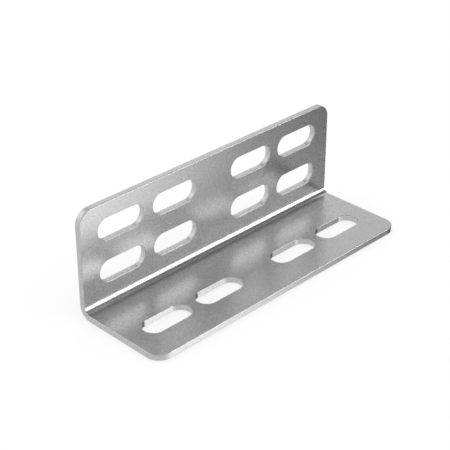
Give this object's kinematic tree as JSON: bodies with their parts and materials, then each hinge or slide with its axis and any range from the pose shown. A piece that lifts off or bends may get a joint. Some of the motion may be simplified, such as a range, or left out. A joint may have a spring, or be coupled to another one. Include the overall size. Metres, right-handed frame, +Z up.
{
  "type": "slotted angle plate",
  "caption": "Folded sheet-steel angle with rows of round-ended slots in both flanges, for joining or mending boards and frames with bolts or screws.",
  "frame": {"origin": "middle of the plate's box, on the underside of the base flange", "axes": "+X along the fold, +Y towards the back of the upright flange, +Z up along the upright flange"},
  "size_m": [0.102, 0.0324, 0.034],
  "materials": {
    "steel": "satin steel sheet with a very fine even grain"
  },
  "bodies": {
    "root": {"angle_plate": "steel"}
  },
  "joints": []
}
